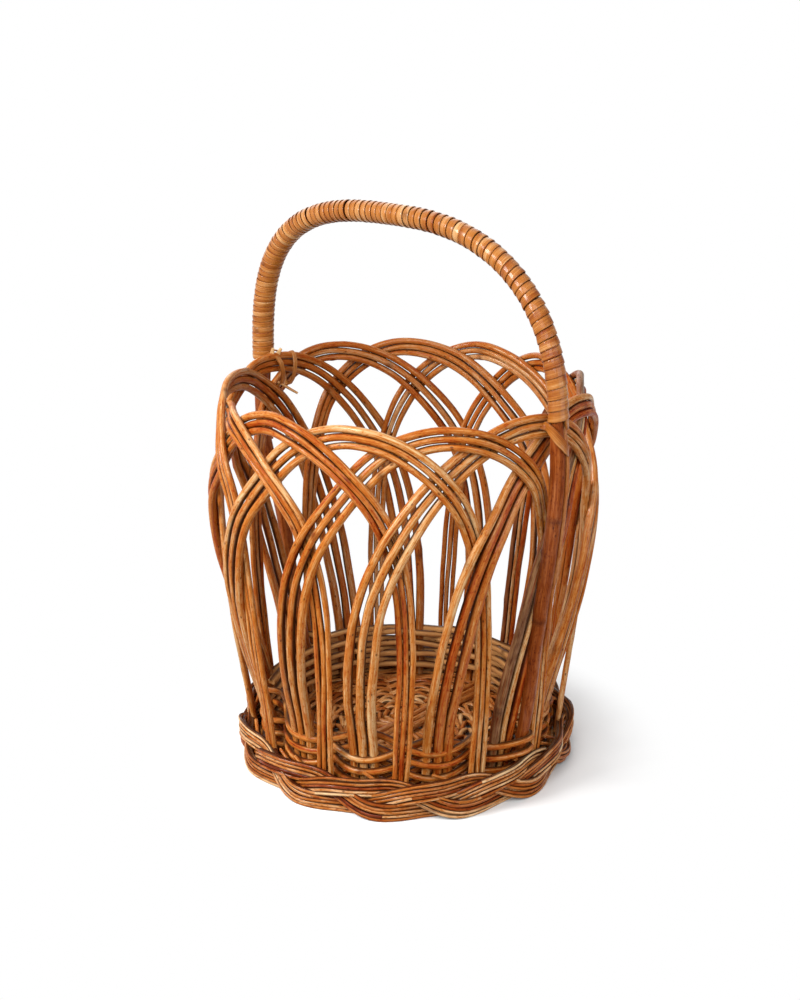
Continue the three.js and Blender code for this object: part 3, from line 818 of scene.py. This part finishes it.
def floorRound(row, half, atBorder):  # two rods to a round, one over where the other is under
    radius = rounds["heart"] + rounds["pitch"] * (row + 0.5)
    slant = rounds["slant"] if row % 2 else -rounds["slant"]
    wave = rounds["wave"] * (rounds["borderWave"] if atBorder else 1)
    height = rounds["borderHeight"] if atBorder else floorMiddle
    angles = np.linspace(0, turn, spokes["count"] * rounds["steps"] + 1) + chance.uniform(0, turn)
    phase = angles * spokes["count"] / 2 + half * math.pi
    radii = radius + slant * np.sin(phase)
    points = np.stack((radii * np.cos(angles), radii * np.sin(angles), height + wave * np.cos(phase)), 1)
    points[-1] = points[0]
    return bend("floorRod", points, [upwards] * len(points), rounds["diameter"], rodTone(*rounds["tone"]),
                rounds, closed=True)


floorRods, borderRods = [], []
for row in range(rounds["rows"] + rounds["border"]):
    atBorder = row >= rounds["rows"]
    for half in (0, 1):
        (borderRods if atBorder else floorRods).append(floorRound(row, half, atBorder))
for number in range(spokes["count"]):
    angle = turn * (number + 0.5) / spokes["count"]
    points = [polar(reach, angle, floorMiddle) for reach in np.linspace(*spokes["span"], spokes["rings"])]
    floorRods.append(bend("floorSpoke", points, [upwards] * len(points), spokes["diameter"],
                          rodTone(spokes["tone"]), spokes))
place(tie(floorRods, "willow_floor_rounds"), "floor_willow", "floor_weaver")
place(tie(borderRods, "willow_floor_border"), "floor_willow")
print("floor woven")

# Handle

handle = {
    "bow": 6.0, "leg": 7.4, "foot": 6.2, "companion": 2.2, "top": 283, "plane": -5, "offset": 8.03,
    "rightSquare": 2.4, "leftSquare": 3.0, "bowShift": -1.0, "thinShift": 2.95, "thinLift": 1.2,
    "thinFoot": 150, "outerFoot": 82, "besideTop": 196, "besideFade": 12, "besideLift": 2.6,
    "besideShift": 4.0, "legThickFrom": 30, "legThickRise": 40, "bowThinFrom": 184, "bowThinRise": 14,
    "sway": 2.5, "swayBand": (60, 50, 185, 60), "finePoints": 2001, "feel": 2, "bowRings": 100,
    "climbStep": 3.0, "soft": 6, "wander": 0.2, "sides": 14, "buds": 8,
    "bowLook": (0.26, 0.1), "innerLook": (0.5, 0.1), "outerLook": (0.6, 0.35),
}
halfSpan = wall["rimRadius"] + handle["offset"]


def bowPlace(t):
    power = 2 / (handle["rightSquare"] if math.cos(t) > 0 else handle["leftSquare"])
    reach = math.copysign(abs(math.cos(t)) ** power, math.cos(t))
    rise = handle["top"] - wall["rimHeight"]
    return halfSpan * reach, handle["plane"], wall["rimHeight"] + rise * max(0, math.sin(t)) ** power


fineBow = np.array([bowPlace(t) for t in np.linspace(0, math.pi, handle["finePoints"])])
fineLength = distances(fineBow)
bowLength = fineLength[-1]


def bowFrame(reach):  # middle, outwards and sideways at a length along the bow
    middle = sample(reach, fineLength, fineBow)
    after = sample(clamp(reach + handle["feel"], 0, bowLength), fineLength, fineBow)
    before = sample(clamp(reach - handle["feel"], 0, bowLength), fineLength, fineBow)
    ahead = after - before
    sideways = np.array((0.0, 1.0, 0.0))
    out = np.cross(sideways, ahead / np.linalg.norm(ahead))
    return middle, out, sideways


def legPlace(z, side, lift, shift, footAngle):
    radius = legRadius(z) + lift
    straighten = clamp((z - wall["buttSpring"]) / (handle["thinFoot"] - wall["buttSpring"]))
    across = mix(radius * math.sin(footAngle), handle["plane"], straighten) + shift
    radius -= drawIn(0 if side > 0 else math.pi, z)
    across -= side * handle["sway"] * band(z, *handle["swayBand"])
    return np.array((side * radius, across, z))


def bowGirth(z):
    low = mix(handle["foot"], handle["leg"], smooth((z - handle["legThickFrom"]) / handle["legThickRise"]))
    return mix(low, handle["bow"], smooth((z - handle["bowThinFrom"]) / handle["bowThinRise"]))


def thinGirth(z):
    return handle["companion"]


def bowBeside(z):  # how far out and how far sideways a rod lies in the handle
    return 0, handle["bowShift"]


def innerBeside(z):
    return -handle["thinLift"], handle["thinShift"]


def outerBeside(z):  # beside the bow in the binding, and beside the thicker leg below it
    share = smooth((handle["besideTop"] - z) / handle["besideFade"])
    lift = mix(handle["thinLift"], handle["besideLift"], share)
    return lift, mix(handle["thinShift"], handle["bowShift"] + handle["besideShift"], share)


def handleRod(name, beside, foot, girthAt, look):
    tone, worn = look
    climb = np.arange(foot, wall["rimHeight"] - 1, handle["climbStep"])
    right = [legPlace(z, 1, *beside(z), rightFoot) for z in climb]
    left = [legPlace(z, -1, *beside(z), leftFoot) for z in climb[::-1]]
    over = []
    for reach in np.linspace(0, bowLength, handle["bowRings"]):
        middle, out, sideways = bowFrame(reach)
        lift, shift = beside(middle[2])
        over.append(middle + out * lift + sideways * shift)
    points = wander(soften(np.array(right + over + left), handle["soft"]), handle["wander"])
    girths = [girthAt(p[2]) for p in points]
    return bend(name, points, [(0, 1, 0)] * len(points), girths, tone, handle, worn=worn)


bowRod = handleRod("willow_bow", bowBeside, wall["stakeFoot"], bowGirth, handle["bowLook"])
place(bowRod, "handle_willow", "handle_bow")
innerRod = handleRod("willow_companion_inner", innerBeside, handle["thinFoot"], thinGirth,
                     handle["innerLook"])
place(innerRod, "handle_willow", "handle_companion_inner")
outerRod = handleRod("willow_companion_outer", outerBeside, handle["outerFoot"], thinGirth,
                     handle["outerLook"])
place(outerRod, "handle_willow", "handle_companion_outer")
print("bow bent")

# Binding of the handle; what changes along it is given at shares of the bow's length

binding = {
    "start": 5, "thickness": 0.8, "steps": 24, "cover": 1.04, "sides": 18, "seamShades": (1, 0.8), "buds": 24,
    "innerAt": (0, 0.3, 0.6, 0.9), "inner": (4.05, 4.3, 4.6, 5.0),
    "pitchAt": (0, 0.2, 0.4, 0.6, 0.8, 1), "pitches": (4.8, 4.4, 3.7, 3.4, 2.9, 2.6),
    "pitchSpread": (0.84, 1.16), "lap": 0.14, "lapSpread": (0.4, 1.5), "looseTurns": (29, 44, 52),
    "looseness": 0.8,
    "toneAt": (0, 0.2, 0.45, 1), "tones": (0.2, 0.34, 0.46, 0.42), "toneSpread": 0.1,
}


def handleBinding():
    points, outs, widths, tones = [], [], [], []
    reach, end = binding["start"], bowLength - binding["start"]
    before, turns = binding["pitches"][0], 0
    while reach < end:
        pitch = np.interp(reach / bowLength, binding["pitchAt"], binding["pitches"])
        pitch *= chance.uniform(*binding["pitchSpread"])
        lap = binding["lap"] * chance.uniform(*binding["lapSpread"])
        loose = binding["looseness"] if turns in binding["looseTurns"] else 0
        centre = np.interp(reach / bowLength, binding["toneAt"], binding["tones"])
        tone = rodTone(centre, binding["toneSpread"])
        for step in range(binding["steps"]):
            share = step / binding["steps"]
            at = reach + (pitch + loose) * share
            middle, out, sideways = bowFrame(min(at, end))
            ray = out * math.cos(turn * share) + sideways * math.sin(turn * share)
            forward = np.cross(out, sideways)
            inner = np.interp(at / bowLength, binding["innerAt"], binding["inner"])
            points.append(middle + ray * (inner + binding["thickness"] / 2))
            outs.append(ray + forward * lap)
            widths.append(mix(before, pitch, share) * binding["cover"])
            tones.append(tone)
        reach += pitch + loose
        before = pitch
        turns += 1
    flat = np.array(widths) / binding["thickness"]
    print("handle bound,", turns, "turns")
    return bend("skein_binding", points, outs, binding["thickness"], tones, binding, flat=flat)


place(handleBinding(), "skein", "handle_wrap")

# Ties where the handle meets the rim

strips = {"thickness": 0.9, "steps": 12, "soft": 6, "sides": 18, "seamShades": (0.6, 0.6)}


def skeinStrip(spots, outs, widths, tone, passes):
    spots, outs = np.array(spots, float), np.array(outs, float)
    marks = np.linspace(0, 1, len(spots))
    fine = np.linspace(0, 1, strips["steps"] * (len(spots) - 1) + 1)
    points = soften(sample(fine, marks, spots), strips["soft"] * passes)
    faces = soften(sample(fine, marks, outs), strips["soft"] * passes)
    flat = np.interp(fine, np.linspace(0, 1, len(widths)), widths) / strips["thickness"]
    return bend("skeinStrip", points, faces, strips["thickness"], tone, strips, flat=flat)


rightLook = {
    "start": ((83, -1, 188), (83, -6, 193), (83, -11, 195)),
    "startOuts": ((-1, 0, 0), (-1, 0, 0), (-1, -0.5, 0)),
    "turns": ((-115, 196), (-80, 196.5), (-50, 196), (-20, 194), (10, 191), (40, 188), (65, 185),
              (88, 182.5)),
    "widths": (3, 3.6, 4.2, 4.6, 4.8, 4.8, 4.8, 4.4, 1.0), "hold": 4.9, "legTop": 190, "passes": 2,
    "tone": 0.32,
}


def rightTie():  # a flat end that crosses the leg slantwise under the binding
    spots, outs = list(rightLook["start"]), list(rightLook["startOuts"])
    for spin, z in rightLook["turns"]:
        leg = legPlace(min(z, rightLook["legTop"]), 1, *bowBeside(z), rightFoot)
        ray = toCamera * math.cos(math.radians(spin)) + toRight * math.sin(math.radians(spin))
        spots.append((leg[0] + ray[0] * rightLook["hold"], leg[1] + ray[1] * rightLook["hold"], z))
        outs.append(ray)
    strip = skeinStrip(spots, outs, rightLook["widths"], rightLook["tone"], rightLook["passes"])
    return tie([strip], "skein_tie_right")


leftLook = {
    "loopStart": ((-93, -6, 201), (-90, -3, 201.5)), "loopTurns": (150, -190, 12),
    "loopMiddle": (-87.0, 3.6, 191), "loopReach": (4.2, 1.6, 9.0),
    "loopWidths": (1.4, 2.2, 2.7, 2.7, 2.7, 1.8), "loopTone": 0.4, "passes": 1,
}
leftStrips = (  # one strip over the loop, the loose tail and the two cut ends of the knot
    {"spots": ((-94, -6, 196), (-91, -7.5, 200.5), (-87, -7, 200.5), (-83.8, -5.6, 196), (-83.4, -4.6, 190),
               (-84.6, -4.0, 185), (-88, -4.5, 182)),
     "outs": ((-1, 0, 1), (-0.5, 0, 1), (0.6, 0, 1), (1, 0, 0.4), (1, 0, 0), (1, 0, -0.5), (0, 0, -1)),
     "widths": (2.6, 3.2, 3.2, 3, 2.4), "tone": 0.4},
    {"spots": ((-87, -5.5, 185), (-84.8, -3.8, 183.4), (-82, -1.2, 181), (-79.2, 1.6, 178.6)),
     "outs": ((1, 0, 0.6),) * 4, "widths": (1.6, 1.7, 1.5, 1.2), "tone": 0.6},
    {"spots": ((-89, -8, 197), (-87.8, -8.4, 200.5), (-86.6, -8.8, 204)),
     "outs": ((0.6, -0.7, 0.2),) * 3, "widths": (2.4, 2.4, 1.6), "tone": 0.95},
    {"spots": ((-88, -6, 197), (-86.5, -5.2, 200.2), (-85, -4.4, 203.4)),
     "outs": ((0.6, -0.7, 0.2),) * 3, "widths": (2.4, 2.4, 1.6), "tone": 0.95},
)


def leftTie():  # a loop round the arch, and what is knotted to it
    loop, loopOuts = list(leftLook["loopStart"]), [upwards] * len(leftLook["loopStart"])
    for spin in np.linspace(*leftLook["loopTurns"]):
        away = np.array((math.cos(math.radians(spin)), 0, math.sin(math.radians(spin))))
        loop.append(np.array(leftLook["loopMiddle"]) + np.array(leftLook["loopReach"]) * away[[0, 2, 2]])
        loopOuts.append(away)
    rods = [skeinStrip(loop, loopOuts, leftLook["loopWidths"], leftLook["loopTone"], leftLook["passes"])]
    for strip in leftStrips:
        rods.append(skeinStrip(**strip, passes=leftLook["passes"]))
    return tie(rods, "skein_tie_left")


place(rightTie(), "skein", "rim_tie_right")
place(leftTie(), "skein", "rim_tie_left")
print("ties made")

smoothAngle = math.radians(50)
for mesh in stock.values():
    bpy.data.meshes.remove(mesh)
bpy.ops.object.select_all(action="DESELECT")
for piece in pieces:
    piece.select_set(True)
bpy.context.view_layer.objects.active = pieces[0]
bpy.ops.object.shade_smooth_by_angle(angle=smoothAngle)
triangles = sum(len(face.vertices) - 2 for piece in pieces for face in piece.data.polygons)
print("pieces", len(pieces), "triangles", triangles)

# Floor of the studio, light and camera, in metres

studio = {
    "floorSize": 3.0, "floorSides": 64, "ambient": 0.07, "paper": 0.32, "pale": 0.9, "aim": (0, 0, 0.13),
    "nearFade": (0.085, 0.1), "nearShare": 0.2, "farFade": (0.095, 0.142), "farShare": 0.8,
}
lamps = {  # watts, size, then how far to the right of the aim, towards the camera and up
    "key": (20.5, 0.5, -0.95, 0.42, 0.64),
    "fill": (12, 1.2, 0.9, 0.9, 0.35),
    "front": (11, 0.8, -0.25, 1.0, 0.75),
    "back": (6.5, 1.2, -0.3, -1.1, 0.6),
    "top": (2, 1.2, 0, -0.35, 1.1),
}


def grey(level):
    return (level, level, level, 1)


def seen(finish):  # 1 for what the camera sees, also mirrored or through something clear
    path = finish.node("ShaderNodeLightPath")
    return path.also("Is Camera Ray") + path.also("Is Glossy Ray") + path.also("Is Transmission Ray")


def studioFloor():
    bpy.ops.object.select_all(action="DESELECT")
    bpy.ops.mesh.primitive_circle_add(vertices=studio["floorSides"], radius=studio["floorSize"],
                                      fill_type="NGON")
    ground = bpy.context.object
    ground.name = "studio_floor"
    finish = Finish(bpy.data.materials.new("studioPaper"))
    coordinates = finish.node("ShaderNodeTexCoord", None, None, "Object")
    away = finish.node("ShaderNodeVectorMath", {"operation": "LENGTH"}, {0: coordinates}, "Value")
    paper = finish.node("ShaderNodeBsdfDiffuse", None, {"Color": grey(studio["paper"])})
    pale = finish.node("ShaderNodeBsdfDiffuse", None, {"Color": grey(studio["pale"])})
    white = finish.node("ShaderNodeEmission", None, {"Color": grey(1), "Strength": 1.0})
    share = finish.ease(away, *studio["nearFade"]) * studio["nearShare"]
    share = share + finish.ease(away, *studio["farFade"]) * studio["farShare"]
    shown = finish.node("ShaderNodeMixShader", None, {0: share, 1: pale, 2: white})
    lit = finish.node("ShaderNodeMixShader", None, {0: seen(finish), 1: paper, 2: shown})
    finish.node("ShaderNodeOutputMaterial", None, {"Surface": lit})
    ground.data.materials.append(finish.owner)


def studioWorld():
    finish = Finish(bpy.data.worlds.new("studioWhite"))
    bpy.context.scene.world = finish.owner
    dim = finish.node("ShaderNodeBackground", None, {"Color": grey(1), "Strength": studio["ambient"]})
    white = finish.node("ShaderNodeBackground", None, {"Color": grey(1), "Strength": 1.0})
    lit = finish.node("ShaderNodeMixShader", None, {0: seen(finish), 1: dim, 2: white})
    finish.node("ShaderNodeOutputWorld", None, {"Surface": lit})


def lamp(name, energy, size, right, forward, up):
    aim = Vector(studio["aim"])
    spot = aim + Vector(toRight) * right + Vector(toCamera) * forward + Vector((0, 0, up))
    bpy.ops.object.light_add(type="AREA", location=spot)
    light = bpy.context.object
    light.name = name
    light.data.energy = energy
    light.data.size = size
    light.rotation_euler = (aim - spot).to_track_quat("-Z", "Y").to_euler()


studioFloor()
studioWorld()
for name, settings in lamps.items():
    lamp(name, *settings)

cameraLook = {"place": (0.5301, -0.5992, 0.411), "yaw": -0.228, "pitch": 18.933, "lens": 59.32,
              "sensor": 36}
yaw, pitch = math.radians(cameraLook["yaw"]) - azimuth, math.radians(cameraLook["pitch"])
ahead = Vector((math.sin(yaw) * math.cos(pitch), math.cos(yaw) * math.cos(pitch), -math.sin(pitch)))
bpy.ops.object.camera_add(location=cameraLook["place"])
camera = bpy.context.object
camera.rotation_euler = ahead.to_track_quat("-Z", "Y").to_euler()
camera.data.sensor_fit = "VERTICAL"
camera.data.sensor_height = cameraLook["sensor"]
camera.data.lens = cameraLook["lens"]
bpy.context.scene.camera = camera
bpy.context.scene.view_settings.view_transform = "Standard"
print("studio lit")
